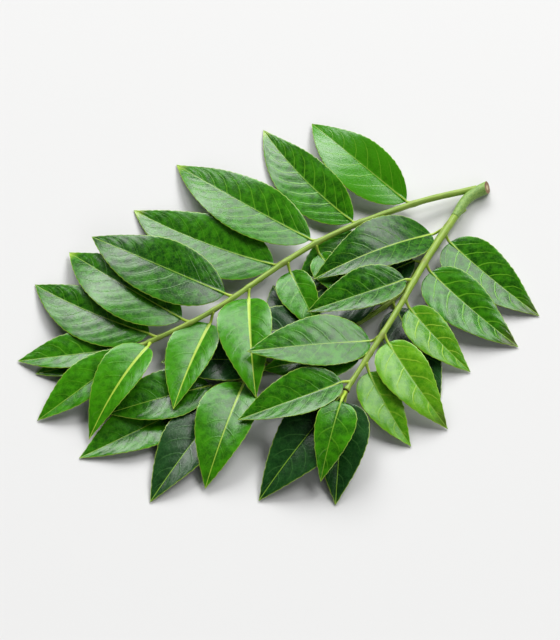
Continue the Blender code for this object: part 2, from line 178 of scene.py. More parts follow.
# %% Leaflets that lie apart from their row
Departure = namedtuple("Departure", "turn size width slide reach", defaults=(0, 1.0, 1.0, 0, 0))
DEPARTURES = {
    ("long", 1): Departure(size=0.9, width=0.95, slide=-3),
    ("long", 3): Departure(turn=-12, width=0.85, slide=1),
    ("long", 4): Departure(slide=4),
    ("long", 5): Departure(turn=-3, size=1.15, width=0.85),
    ("long", 6): Departure(slide=-2),
    ("long", 7): Departure(turn=-2, size=1.1, slide=-2),
    ("long", 8): Departure(turn=-5, size=1.25, slide=-3, reach=1),
    ("long", 9): Departure(turn=-3, size=1.05, slide=2),
    ("long", 10): Departure(turn=-7, slide=-6, reach=1),
    ("long", 11): Departure(turn=-5, size=1.05, slide=2),
    ("long", 12): Departure(turn=4, slide=-4),
    ("long", 13): Departure(turn=5, size=0.95, width=0.9),
    ("long", 14): Departure(turn=-3),
    ("long", 15): Departure(turn=-10, size=0.85),
    ("short", 1): Departure(turn=4, size=1.15, width=0.95, slide=-6, reach=3),
    ("short", 2): Departure(size=0.95, slide=-2),
    ("short", 3): Departure(turn=4, slide=-1),
    ("short", 4): Departure(turn=-5, size=0.9),
    ("short", 5): Departure(turn=5, size=0.8, slide=2),
    ("short", 6): Departure(turn=4, size=1.05, slide=3),
    ("short", 7): Departure(turn=-8, size=1.1, slide=4),
    ("short", 9): Departure(turn=5, size=0.95),
    ("short", 10): Departure(turn=5),
    ("short", 11): Departure(turn=4, size=0.95),
    ("short", 12): Departure(turn=-4, size=0.95),
    ("short", 13): Departure(turn=7, size=0.65, reach=3),
    ("under", 2): Departure(turn=5, slide=6),
    ("under", 6): Departure(turn=-4),
    ("under", 7): Departure(turn=2, slide=27),
    ("under", 8): Departure(turn=8, slide=-3),
    ("under", 9): Departure(turn=7, width=0.9, slide=-4, reach=3),
    ("under", 10): Departure(turn=6, size=1.1),
}
print(len(DEPARTURES), "leaflets lie apart from their row")

# %% [markdown]
# A leaflet's plan is what its row and its departure make of it. The midrib is an arc, so a
# heading, a curl and a length are enough for it. A stalklet leaves the side of its stem steeply
# and then bends into the blade, unless it grows out of the very end of the stem.

# %% Plan of the leaflets
STALKLET_REACH = 3.5  # from the stem's axis to where a blade begins
LEAST_STALKLET_SPLAY = 50  # a stalklet leaves the side of a stem at least this steeply
STEM_TIP = 3.0  # a leaflet this close to the end of a stem grows out of the end

Plan = namedtuple("Plan", "stem number at reach bend heading curl length left right widest fold roll")


def stem_direction(name, distance):
    """The direction of the short piece of the route that a distance falls on."""
    curve, reached = ROUTES[name]
    piece = min(max(int(np.searchsorted(reached, distance)), 1), len(curve) - 1)
    step = curve[piece] - curve[piece - 1]
    return step / np.linalg.norm(step)


def plans_of(row):
    """The plans of one row's leaflets."""
    steps = (np.linspace(*pair, len(row.numbers)) for pair in (row.places, row.splay, row.length))
    for number, at, splay, length in zip(row.numbers, *steps):
        departure = DEPARTURES.get((row.stem, number), Departure())
        at = min(at + departure.slide, end_of(row.stem))
        ahead = stem_direction(row.stem, at)
        heading = degrees(atan2(ahead[1], ahead[0])) + row.side * splay + departure.turn
        length = length * departure.size
        wide = length * departure.width
        at_tip = end_of(row.stem) - at < STEM_TIP
        bend = 0 if at_tip else row.side * max(0, LEAST_STALKLET_SPLAY - splay)
        yield Plan(
            row.stem, number, at, STALKLET_REACH + departure.reach, bend, heading, row.curl,
            length, row.left * wide, row.right * wide, row.widest, row.fold, row.roll)


PLANS = [plan for row in ROWS for plan in plans_of(row)]
PLANS.sort(key=lambda plan: (plan.stem, plan.number))
mean_length = sum(plan.length for plan in PLANS) / len(PLANS)
print(len(PLANS), "leaflets with a mean length of", round(mean_length), "mm")

# %% [markdown]
# The outline of a curry leaflet is broadest below its middle and narrows to a small blunt tip.
# One power curve times another gives that outline, and two powers move the widest place, so no
# outline has to be drawn by hand.
#
# How high a blade lies was settled when the plain model was laid, leaflet upon leaflet. So its
# height is measured here, on the plain solid, near the base, in the middle and near the tip, and
# a parabola through the three heights carries the midrib.

# %% Lay a blade in its place
TIP_TAPER = 1.05  # how soon the outline narrows towards the tip
PLAIN_GAP = 0.3  # between a stem and a plain solid's stalklet
PLAIN_STALKLET_RADIUS = 0.6
SHORTEST_STALKLET = 0.5
MOST_SLANT = 0.8  # cosine of the sharpest angle between a stalklet and its stem
MEASURED = (0.12, 0.53, 0.92)  # where the plain blade has a cross-section, from base to tip
NEAR_MIDRIB = 0.1  # a corner of the plain blade this close to the midrib is on it


class Blade:
    """Where a leaflet's blade lies: every length is in millimetres."""

    def __init__(self, plan):
        self.plan = plan
        self.stem_point, _ = stem_points(plan.stem, plan.at)
        self.start = radians(plan.heading - plan.curl / 2)
        self.turn = radians(plan.curl)
        self.away = self.start + radians(plan.bend)
        # The plain stalklet keeps clear of its stem, so its blade begins at least this far out.
        leaving = (cos(self.away), sin(self.away), 0)
        along = min(abs(np.dot(leaving, stem_direction(plan.stem, plan.at))), MOST_SLANT)
        radius = radius_of(plan.stem, plan.at / end_of(plan.stem))
        foot = (radius + PLAIN_GAP + PLAIN_STALKLET_RADIUS * along) / (1 - along**2)**0.5
        reach = max(plan.reach, foot + SHORTEST_STALKLET)
        self.base = self.stem_point[:2] + reach * np.array(leaving[:2])
        self.power = TIP_TAPER * plan.widest / (1 - plan.widest)
        self.heights = self.read_heights()

    def direction(self, u):
        return self.start + self.turn * u

    def midrib(self, u):
        """The midrib seen from above, at u from base to tip."""
        if self.turn == 0:
            ahead = self.plan.length * u * cos(self.start)
            aside = self.plan.length * u * sin(self.start)
        else:
            bow = self.plan.length / self.turn
            ahead = bow * (np.sin(self.direction(u)) - sin(self.start))
            aside = -bow * (np.cos(self.direction(u)) - cos(self.start))
        return self.base[0] + ahead, self.base[1] + aside

    def outline(self, u):
        """The half width at u, as a part of the widest one."""
        widest = self.plan.widest
        full = widest**self.power * (1 - widest)**TIP_TAPER
        return u**self.power * (1 - u)**TIP_TAPER / full

    @staticmethod
    def shares(u):
        """What the base, middle and tip heights give to the midrib's height at u."""
        return (1 - u) * (1 - 2 * u), 4 * u * (1 - u), u * (2 * u - 1)

    def read_heights(self):
        """The midrib's height at base, middle and tip, from the plain solid's cross-sections."""
        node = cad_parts[f"{self.plan.stem}_leaflet_{self.plan.number:02d}"]
        corners = np.array([vertex.co for vertex in node.data.vertices]) / MM - PLAN_SHIFT
        found = []
        for u in MEASURED:
            nearby = np.hypot(*(corners[:, :2] - self.midrib(u)).T) < NEAR_MIDRIB
            found.append((corners[nearby, 2].min() + corners[nearby, 2].max()) / 2)
        return np.linalg.solve([self.shares(u) for u in MEASURED], found)

    def height(self, u):
        return sum(share * height for share, height in zip(self.shares(u), self.heights))


BLADES = {(plan.stem, plan.number): Blade(plan) for plan in PLANS}
tallest = max(blade.heights.max() for blade in BLADES.values())
print(f"the highest midrib is {tallest:.1f} mm above the table")

# %% [markdown]
# Every piece here is a skin around a long shape: rings of points, one after the other. A grid
# rolled up into a tube makes such a skin with one operator. Its rows are put on the rings, the
# seam is welded, and the open ends are closed. What the materials need to know about a place,
# such as how far it is from the midrib, is kept on the vertices as attributes.

# %% Roll a sheet into a skin
WELD = 0.01 * MM  # points closer than this become one


def rolled_sheet(name, rings, facts):
    """A closed mesh from an array of rings in millimetres, with a value of each fact for each point."""
    rows, columns = rings.shape[:2]
    sheet = bmesh.new()
    bmesh.ops.create_grid(sheet, x_segments=rows - 1, y_segments=columns, size=1)
    layers = {fact: sheet.verts.layers.float.new(fact) for fact in facts}
    places = (rings + PLAN_SHIFT) * MM
    for vertex in sheet.verts:
        row = round((vertex.co.x + 1) / 2 * (rows - 1))
        column = round((vertex.co.y + 1) / 2 * columns) % columns
        vertex.co = places[row, column]
        for fact, layer in layers.items():
            vertex[layer] = facts[fact][row, column]
    bmesh.ops.remove_doubles(sheet, verts=sheet.verts, dist=WELD)
    bmesh.ops.holes_fill(sheet, edges=sheet.edges, sides=0)
    bmesh.ops.recalc_face_normals(sheet, faces=sheet.faces)
    if sheet.calc_volume(signed=True) < 0:
        bmesh.ops.reverse_faces(sheet, faces=sheet.faces)
    mesh = bpy.data.meshes.new(name)
    sheet.to_mesh(mesh)
    sheet.free()
    mesh.shade_smooth()
    piece = bpy.data.objects.new(name, mesh)
    bpy.context.scene.collection.objects.link(piece)
    return piece


def around(half_columns, crowding=1.0):
    """Places around a ring, first over its upper side from left to right and then back below.

    Gives the place across, from +1 at the left to -1, and which side it is on, +1 or -1."""
    turn = np.arange(4 * half_columns) / half_columns
    upper = turn <= 2
    share = np.where(upper, 1 - turn, turn - 3)
    out = (1 - np.cos(pi * np.abs(share)**crowding)) / 2
    return np.sign(share) * out, np.where(upper, 1.0, -1.0)


print("across a ring of 12 columns:", around(3)[0].round(2))

# %% [markdown]
# No two leaflets of a sprig look the same, so a leaflet may have a look of its own:
#
# - tint makes the blade fresher above 0 and deeper below, and pale and dry change its tip.
# - veins, quilt and ripple say how strongly the side veins show, how far the blade swells
#   between them and how far its margins wave.
# - bold makes the midrib broader and keeps it pale up to the tip.
# - cup swells each half as a whole, and fold and roll are added to those of the row.

# %% Looks of the leaflets
Look = namedtuple(
    "Look", "tint veins quilt ripple dry pale bold cup fold roll",
    defaults=(0.0, 0.5, 0.12, 0.2, 0.0, 0.0, 0.0, 0.02, 2, 0))
LOOKS = {
    ("long", 1): Look(tint=1.2, veins=1.0, quilt=0.08, roll=-8),
    ("long", 2): Look(tint=-0.1),
    ("long", 3): Look(tint=0.2, veins=1.0, pale=1.0, cup=0.0, roll=-11),
    ("long", 4): Look(tint=0.5, veins=0.3),
    ("long", 5): Look(tint=0.2, veins=0.8, pale=1.0),
    ("long", 6): Look(tint=0.5),
    ("long", 7): Look(veins=0.2, pale=1.0),
    ("long", 8): Look(tint=0.8, veins=0.2, bold=1.0, cup=0.12, roll=-4),
    ("long", 9): Look(tint=-0.5, veins=0.1, fold=-3),
    ("long", 10): Look(tint=0.8, veins=0.2, bold=1.0, cup=0.12, roll=-4),
    ("long", 11): Look(tint=-0.1, veins=0.2, pale=1.0),
    ("long", 12): Look(tint=-0.2, veins=0.3, fold=0, roll=-2),
    ("long", 13): Look(tint=0.8, veins=0.2, bold=1.0, cup=0.12, roll=-4),
    ("long", 14): Look(tint=0.4, veins=0.2),
    ("long", 16): Look(tint=0.2),
    ("short", 1): Look(tint=-0.7, veins=0.35, bold=0.3, cup=0.05, fold=6),
    ("short", 2): Look(tint=-0.1, veins=1.0, dry=0.8, fold=4, roll=2),
    ("short", 3): Look(tint=0.1, veins=1.0, quilt=0.18, dry=1.0, cup=0.12),
    ("short", 4): Look(tint=-0.4, veins=0.4, cup=0.05, fold=8, roll=1),
    ("short", 5): Look(tint=-0.5, veins=0.9, cup=0.12),
    ("short", 6): Look(tint=0.1, veins=0.7, dry=0.8, cup=0.12),
    ("short", 7): Look(veins=0.3, fold=-2, roll=1),
    ("short", 8): Look(tint=-0.2, veins=0.2),
    ("short", 9): Look(tint=-0.3, veins=0.4),
    ("short", 10): Look(tint=-0.1, veins=0.3, cup=0.0, fold=8, roll=2),
    ("short", 13): Look(tint=0.3),
    ("under", 7): Look(tint=0.2, veins=0.1, bold=0.5, cup=0.12),
    ("under", 8): Look(tint=-0.2, veins=0.1),
    ("under", 10): Look(veins=0.1),
}
print(len(LOOKS), "leaflets have a look of their own, and the others have", Look())

# %% [markdown]
# The middle line of a leaflet is its stalklet and then its midrib. A stalklet leaves its stem
# sideways and arrives at the blade in the midrib's own direction, and one Bezier curve with four
# points does both. Along the line, every ring needs to know which way is left and which is up.

# %% Middle line of a leaflet
STEM_JOINT = 0.6  # from a stem's axis to where a stalklet grows out of it


def smooth(low, high, value):
    """Rises smoothly from 0 to 1 as the value goes from low to high."""
    share = np.clip((value - low) / (high - low), 0, 1)
    return share * share * (3 - 2 * share)


def unit(vectors):
    """The same directions, all with a length of 1."""
    return vectors / np.linalg.norm(vectors, axis=-1, keepdims=True)


def stalklet_line(blade, share):
    """Points of the stalklet from its stem to the blade, and its directions."""
    base, middle, tip = blade.heights
    leaving = np.array((cos(blade.away), sin(blade.away), 0.0))
    start = blade.stem_point + STEM_JOINT * leaving
    end = np.array((*blade.base, base))
    rise = (4 * middle - 3 * base - tip) / blade.plan.length
    arriving = unit(np.array((cos(blade.start), sin(blade.start), rise)))
    handle = np.linalg.norm(end - start) / 3
    first, second = start + handle * unit(end - start), end - handle * arriving
    s = share[:, None]
    line = (1 - s)**3 * start + 3 * (1 - s)**2 * s * first + 3 * (1 - s) * s**2 * second + s**3 * end
    ahead = (1 - s)**2 * (first - start) + 2 * (1 - s) * s * (second - first) + s**2 * (end - second)
    return line, unit(ahead)


def middle_line(blade, s, u):
    """Points of the stalklet at s and of the midrib at u, with the ways left and up there."""
    line, ahead = stalklet_line(blade, s)
    stalk_left = unit(np.cross((0, 0, 1), ahead))
    settle = smooth(0, 1, s)[:, None]
    stalk_up = unit(np.cross(ahead, stalk_left) * (1 - settle) + np.array((0, 0, 1)) * settle)
    direction = blade.direction(u)
    level = np.zeros_like(u)
    midrib = np.stack((*blade.midrib(u), blade.height(u)), axis=-1)
    leftwards = np.stack((-np.sin(direction), np.cos(direction), level), axis=-1)
    upwards = np.stack((level, level, level + 1), axis=-1)
    on_stalklet, on_midrib = (line, stalk_left, stalk_up), (midrib, leftwards, upwards)
    return [np.vstack(parts) for parts in zip(on_stalklet, on_midrib)]


first_line = middle_line(BLADES["long", 1], np.array((0.0, 0.5)), np.array((0.0, 1.0)))[0]
print("from the stem to the tip of the first leaflet:", first_line.round(1).tolist())

# %% [markdown]
# The midrib is the stalklet going on through the blade: a round cord that gets thinner towards
# the tip. So one ring shape serves the whole leaflet. On the stalklet it is only the cord, and
# along the blade it is the cord with a thin wing on either side. The rings are crowded near the
# midrib, where the cord is narrow.
#
# The width comes first: the outline, with small blunt teeth on its margin, and never narrower
# than the cord.

# %% Widths of a leaflet
STALK_RADIUS = 0.5
STALK_SWELLING = 0.25  # where the stalklet joins the stem
TIP_RADIUS = 0.12
TOOTH = 0.10  # how far the margin's small blunt teeth stand out
TOOTH_SPACING = 2.3
UNEVEN = (0.7, 0.63)  # a second wave, lower and longer, keeps the teeth from being all alike
LEAF_PHASE, SIDE_PHASE = 2.4, 1.7  # where the waves start, from leaflet to leaflet and side to side


def cord_radius(plan, s, u):
    """The radius of the stalklet at s and of the midrib at u."""
    swelling = STALK_SWELLING * np.exp(-(s * plan.reach)**2)
    cord = (STALK_RADIUS + (TIP_RADIUS - STALK_RADIUS) * u) * (1 - u**12)**0.5
    return np.concatenate((STALK_RADIUS + swelling, cord))[:, None]


def half_width(blade, u, left, phase):
    """From the midrib to the margin, on the left half where left is true."""
    plan = blade.plan
    wave = 2 * pi * plan.length / TOOTH_SPACING * u
    teeth = np.sin(wave + phase) + UNEVEN[0] * np.sin(wave * UNEVEN[1] + 2 * phase)
    half = np.where(left, plan.left, plan.right) * blade.outline(u)
    return half + TOOTH * teeth * open_part(u)


def open_part(u):
    """How far the blade is open at u: 0 at its base and tip, and nearly 1 between them."""
    return np.sin(pi * u)**0.4


print("near the base and in the middle it is open by", open_part(np.array((0.02, 0.1, 0.5))).round(2))

# %% [markdown]
# The height comes next. Each half leans with the fold and the roll, sinks towards its margin and
# waves a little there. Side veins leave the midrib in turn, left and right, and curve towards
# the tip, and the blade swells between them, which is what makes a leaf's shine look quilted.

# %% Heights of a leaflet
BLADE_THICKNESS = 0.24
MARGIN_DROOP = 0.05  # how far a margin sinks below a flat half, as a part of its width
CORD_ABOVE = 0.45  # how much of the midrib's cord stands above the blade
CORD_BELOW = 0.8
VEIN_SPACING = 6.3
VEIN_TURNS = (0.5, 0.3)  # how much later the veins come on the left half, and on the next leaflet
VEIN_SLANT = 0.14  # how far a side vein runs forwards on its way to the margin
VEIN_CURVE = 0.13  # and how far it bends forwards more
RIPPLES = 2.3  # waves along a margin


def vein_count(plan, u, out, left, number):
    """The number of side veins passed on the way from the base to a place on the blade."""
    veins = round(plan.length / VEIN_SPACING)
    later = VEIN_TURNS[0] * left + number * VEIN_TURNS[1]
    return veins * (u - VEIN_SLANT * out - VEIN_CURVE * out**3) + later


def lift_of(look, u, out, half, vein, phase):
    """How far a flat half rises above the midrib at a share out from it."""
    quilting = -look.quilt * np.cos(2 * pi * vein) * out**0.6 * (1 - out**3)
    ripple = look.ripple * out**3 * np.sin(2 * pi * RIPPLES * u + phase)
    crest = look.cup * half * out * (1 - out) * open_part(u)
    return -MARGIN_DROOP * half * out**2 + crest + (quilting + ripple) * open_part(u)


def thickness(face, u, out, distance, cord):
    """From the middle of the blade to its skin: the thin wing, and the cord that stands out of it."""
    wing = BLADE_THICKNESS / 2 * (1 - out**16)**0.5 * smooth(0, 0.03, u)
    shown = 1 + (np.where(face > 0, CORD_ABOVE, CORD_BELOW) - 1) * smooth(0, 0.1, u)
    ridge = shown * np.maximum(cord**2 - distance**2, 0)**0.5
    return np.hypot(wing, ridge)


vein_counts = {round(plan.length / VEIN_SPACING) for plan in PLANS}
print("a blade has", min(vein_counts), "to", max(vein_counts), "veins on a side")

# %% [markdown]
# With these, a leaflet is one array of rings: so far out from its middle line, and so far up.
# The places are closer together near the base and the tip, where the outline turns fastest.

# %% Make a leaflet
HALF_COLUMNS = 18
CROWDING = 1.25
ROW_SPACING = 0.6
STALK_ROWS = 9


def leaflet(name, blade, look, number):
    """The finished skin of one leaflet, with what its material needs to know."""
    plan = blade.plan
    across, face = around(HALF_COLUMNS, CROWDING)
    out, left = np.abs(across), across >= 0
    t = np.linspace(0, 1, round(plan.length / ROW_SPACING))
    u = (t + (1 - np.cos(pi * t)) / 2) / 2
    s = np.linspace(0, 1, STALK_ROWS, endpoint=False)
    along = np.concatenate((s - 1, u))[:, None]
    on_blade = np.maximum(along, 0)
    phase = number * LEAF_PHASE + left * SIDE_PHASE

    cord = cord_radius(plan, s, u)
    half = half_width(blade, on_blade, left, phase)
    width = (np.maximum(half, 0)**2 + cord**2)**0.5
    distance = out * width
    fold, roll = plan.fold + look.fold, plan.roll + look.roll
    tilt = np.radians(np.where(left, fold + roll, fold - roll)) * (along > 0)
    vein = vein_count(plan, on_blade, out, left, number)
    lift = distance * np.sin(tilt) + lift_of(look, on_blade, out, half, vein, phase)
    height = lift + face * thickness(face, on_blade, out, distance, cord)
    aside = np.sign(across) * distance * np.cos(tilt)

    middle, leftwards, upwards = middle_line(blade, s, u)
    rings = middle[:, None] + aside[..., None] * leftwards[:, None]
    rings = rings + height[..., None] * upwards[:, None]
    facts = {
        "along": along, "across": across, "face": face, "vein": vein, "rib": distance,
        "edge": (1 - out) * width, "tint": look.tint, "veins": look.veins, "dry": look.dry,
        "pale": look.pale, "bold": look.bold,
    }
    whole = np.ones_like(distance)
    return rolled_sheet(name, rings, {fact: value * whole for fact, value in facts.items()})


print("a leaflet has", 4 * HALF_COLUMNS, "columns of faces")

# %% [markdown]
# Materials are made of nodes, and most of those nodes are sums. A small class lets a sum be
# written as a sum: it wraps a socket, and each operator adds one Math node. Every other node
# comes from one method, which sets the node's own settings first and its sockets after them.

# %% Sums of sockets


class Signal:
    """An output socket that can be used in sums.

    A socket is named with underlines for spaces, or is an underline and its number."""

    def __init__(self, tree, socket):
        self.tree = tree
        self.socket = socket

    def node(self, kind, settings=None, output=0, **sockets):
        """Any node, from its type, its settings and the values or signals of its sockets."""
        node = self.tree.nodes.new("ShaderNode" + kind)
        for setting, value in (settings or {}).items():
            setattr(node, setting, value)
        for socket, value in sockets.items():
            numbered = socket[1:].isdigit()
            place = node.inputs[int(socket[1:]) if numbered else socket.replace("_", " ")]
            if isinstance(value, Signal):
                self.tree.links.new(value.socket, place)
            else:
                place.default_value = value
        return Signal(self.tree, node.outputs[output])

    def sum(self, operation, *values):
        numbered = {f"_{i}": value for i, value in enumerate(values)}
        return self.node("Math", {"operation": operation}, **numbered)

    def __add__(self, other):
        return self.sum("ADD", self, other)

    def __rsub__(self, other):
        return self.sum("SUBTRACT", other, self)

    def __mul__(self, other):
        return self.sum("MULTIPLY", self, other)

    def __truediv__(self, other):
        return self.sum("DIVIDE", self, other)

    __radd__ = __add__
    __rmul__ = __mul__

    def step(self, low, high):
        """Rises smoothly from 0 to 1 as the signal goes from low to high."""
        return self.node("MapRange", {"interpolation_type": "SMOOTHSTEP"},
                         Value=self, From_Min=low, From_Max=high)

    def fade(self, low, high):
        """Falls smoothly from 1 to 0 as the signal goes from low to high."""
        return 1 - self.step(low, high)

    def mix(self, first, second):
        """A colour between the first, at 0, and the second, at 1."""
        return self.node("Mix", {"data_type": "RGBA"}, output=2, _0=self, _6=first, _7=second)


# %% [markdown]
# A finish is a material with one main shader node. Its signals start in a fact that the mesh
# keeps at its vertices, in the place on the piece or in noise there, and they end in a socket of
# that node.

# %% Where signals start and end


class Finish(Signal):
    """A material, and the signals that start in it."""

    def __init__(self, name, **constants):
        self.material = bpy.data.materials.new(name)
        self.material.use_nodes = True
        self.tree = self.material.node_tree
        self.shader = self.tree.nodes["Principled BSDF"]
        for socket, value in constants.items():
            self.shader.inputs[socket.replace("_", " ")].default_value = value

    def fact(self, name):
        """What the mesh keeps at each vertex under this name."""
        return self.node("Attribute", {"attribute_name": name}, output=2)

    def place(self):
        return self.node("TexCoord", output=3)

    def noise(self, scale, detail=2.0):
        return self.node("TexNoise", {}, Vector=self.place(), Scale=scale, Detail=detail)

    def feed(self, socket, signal):
        self.tree.links.new(signal.socket, self.shader.inputs[socket])


def rgb(red, green, blue):
    return (red, green, blue, 1.0)


# %% [markdown]
# A leaf's upper side is deep green under a thin wax, its underside paler and dull. The veins and the
# midrib hold less green than the blade, so they show as pale lines, and a hair-thin pale line along the
# margin is a painted highlight where the blade's edge catches the light.
# All of these follow the blade, so they are drawn from the facts on its vertices; only the
# small mottling comes from noise in space.

# %% Veins, net and midrib of a blade
RIB = rgb(0.42, 0.60, 0.06)
RIB_TIP = rgb(0.20, 0.38, 0.03)  # the midrib's colour where it is about to end
# the pale yellow-green of a pale tip, also painted along the margin as a highlight where the blade's edge
# catches the light
PALE_TIP_AND_EDGE_HIGHLIGHT = rgb(0.40, 0.60, 0.07)
DRY = rgb(0.055, 0.045, 0.008)
TIP_REACH = 0.13  # how far the midrib's colour reaches from its middle at the tip, in millimetres
BASE_REACH = 0.22  # how much farther it reaches at the base
STALKLET_MORE = 0.30  # and on the stalklet, so that all of it has this colour
BOLD_MORE = 0.3  # and how much farther the midrib of a bold leaflet reaches
WANDER = 0.3  # how far a side vein strays, as a part of the spacing
VEIN_LINE = (0.012, 0.06)  # where its colour fades, as parts of the spacing
VEIN_END = (0.55, 0.95)  # where it fades on its way out to the margin
LAST_VEINS = (0.85, 0.97)  # where the side veins fade towards the tip


def vein_lines(leaf, wander):
    """Thin lines along the side veins, which end before the margin and before the tip."""
    phase = leaf.fact("vein") + WANDER * wander
    off_vein = leaf.node("Math", {"operation": "PINGPONG"}, _0=phase, _1=0.5)
    out = leaf.node("Math", {"operation": "ABSOLUTE"}, _0=leaf.fact("across"))
    fading = out.fade(*VEIN_END) * leaf.fact("along").fade(*LAST_VEINS)
    return off_vein.fade(*VEIN_LINE) * fading, out


def net_lines(leaf):
    """The fine net between the side veins."""
    cells = leaf.node("TexVoronoi", {"feature": "DISTANCE_TO_EDGE"}, Vector=leaf.place(), Scale=900.0)
    return cells.fade(0.0, 0.12)


def rib_line(leaf):
    """The midrib, broad at the base and thin at the tip, and its colour."""
    along, bold = leaf.fact("along"), leaf.fact("bold")
    cord = TIP_REACH + BASE_REACH * along.fade(-0.3, 0.5) + STALKLET_MORE * along.fade(-0.1, 0.02)
    cord = cord + BOLD_MORE * bold * along.fade(0.2, 1.0)
    colour = (along.step(-0.2, 0.3) * (1 - bold)).mix(RIB, RIB_TIP)
    return (leaf.fact("rib") / cord).fade(0.7, 1.3), colour


rib_widths = 2 * (TIP_REACH + BASE_REACH), 2 * TIP_REACH
print("the midrib's colour is", rib_widths, "mm wide at the base and at the tip")

# %% [markdown]
# The blade's colour is put together from below: the green with its mottling, the lines of the net and the
# veins, the paler underside, the tip where it has dried, a painted highlight along the margin, and the
# midrib.
# The wax is a little rougher where the mottling is high, on the midrib and on the underside.

# %% Finish of the blades
NET_STRENGTH = 0.16


def leaf_finish(name, deep, fresh, vein_colour, underside, roughness):
    """A material for leaflets, whose green goes from deep to fresh."""
    leaf = Finish(name, Specular_IOR_Level=0.36)
    along, below = leaf.fact("along"), leaf.fact("face").fade(-0.2, 0.2)
    wander, mottling = leaf.noise(180.0), leaf.noise(420.0, 3.0)
    line, out = vein_lines(leaf, wander)
    net = net_lines(leaf)
    on_rib, rib_colour = rib_line(leaf)

    depth = mottling.step(0.3, 0.7) * 0.6 + leaf.fact("tint") * 0.5 + out * 0.25 + 0.05
    green = depth.mix(deep, fresh)
    green = (NET_STRENGTH * net).mix(green, vein_colour)
    green = (line * leaf.fact("veins")).mix(green, vein_colour)
    green = (below * 0.9).mix(green, underside)
    dry = leaf.fact("dry") * (along + 0.10 * wander).step(0.78, 1.02)
    green = (dry * 0.8).mix(green, DRY)
    green = (leaf.fact("pale") * along.step(0.9, 1.0)).mix(green, PALE_TIP_AND_EDGE_HIGHLIGHT)
    # painted highlight: a pale line along the blade's edge, where the edge catches the light
    margin = leaf.fact("edge").fade(0.08, 0.32) * 0.75 * along.step(0.0, 0.05)
    green = margin.mix(green, PALE_TIP_AND_EDGE_HIGHLIGHT)
    leaf.feed("Base Color", on_rib.mix(green, rib_colour))
    leaf.feed("Roughness", roughness + 0.06 * mottling + 0.2 * below + 0.06 * on_rib)
    relief = leaf.noise(1500.0, 2.0) * 0.25 + line * 0.8 + net * 0.25
    leaf.feed("Normal", leaf.node("Bump", {}, Strength=0.35, Distance=0.12 * MM, Height=relief))
    return leaf.material


LEAF_FINISHES = {
    "mature_leaf": leaf_finish(
        "mature leaf", rgb(0.005, 0.058, 0.001), rgb(0.048, 0.27, 0.002), rgb(0.13, 0.38, 0.015),
        rgb(0.10, 0.22, 0.06), 0.22),
    "young_leaf": leaf_finish(
        "young leaf", rgb(0.05, 0.24, 0.003), rgb(0.16, 0.44, 0.008), rgb(0.34, 0.58, 0.04),
        rgb(0.22, 0.38, 0.08), 0.24),
    "shaded_leaf": leaf_finish(
        "shaded leaf", rgb(0.003, 0.028, 0.004), rgb(0.012, 0.075, 0.010), rgb(0.05, 0.16, 0.03),
        rgb(0.04, 0.10, 0.03), 0.24),
}
print("finishes:", list(LEAF_FINISHES))

# %% [markdown]
# Now every leaflet is made. Each new blade stands for the plain solid of the same leaflet. The
# young leaflets are on the short rachis, and those that lie in the shade of the pile are darker.

# %% Make all the leaflets
YOUNG = {("short", 5), ("short", 6), ("short", 9)}
SHADED = {("short", 11), ("short", 12)} | {("under", number) for number in (1, 2, 3, 4, 5, 6, 9)}


def leaf_slot(key):
    """Which finish a leaflet has."""
    if key in YOUNG:
        return "young_leaf"
    return "shaded_leaf" if key in SHADED else "mature_leaf"


faces = 0
for count, ((stem, number), blade) in enumerate(BLADES.items()):
    look = LOOKS.get((stem, number), Look())
    piece = leaflet(f"leaf_{stem}_{number:02d}", blade, look, count)
    slot = leaf_slot((stem, number))
    piece.data.materials.append(LEAF_FINISHES[slot])
    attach(piece, "root")
    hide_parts(f"{stem}_leaflet_{number:02d}")
    faces += len(piece.data.polygons)
print(len(BLADES), "leaflets with", faces, "faces")

# %% [markdown]
# A rachis is a round green stalk that thickens wherever a leaflet grows out of it. It is rolled
# up from rings too. Where it joins the twig it starts inside it, so the two grow together.
#
# The twig was cut at a slant. Rings that shrink towards the middle close the end, so that the
# cut has a flat face of its own and its bark, wood and pith can have their colours.

# %% Make a stem
STEM_COLUMNS = 6
STEM_SPACING = 0.7
NODE_SWELLING = 0.16
NODE_LENGTH = 1.3
UNEVENNESS = 0.012  # how far a stem is from round, as a part of its radius
TWIG_EASE = 0.18  # the twig narrows by this much where the short rachis goes on from it
SLANT_LENGTH = 6.0  # how soon the slant of a cut face dies away along the stem
CUT_TURN = pi / 4  # the cut slants back on the side between the top and the left
CUT_RINGS = (0.97, 0.86, 0.62, 0.40, 0.38, 0.18, 0.0)  # shares of the radius across a cut face


def swellings(stem_name, distances):
    """Where the leaflets grow out of a stem, from 0 to 1, one line for each leaflet."""
    nodes = [plan.at for plan in PLANS if plan.stem == stem_name]
    return [np.exp(-((distances - at) / NODE_LENGTH)**2) for at in nodes]


def cut_face(ring):
    """Rings that shrink to the middle of a ring."""
    middle = ring.mean(axis=0)
    return [middle + (ring - middle) * share for share in CUT_RINGS]


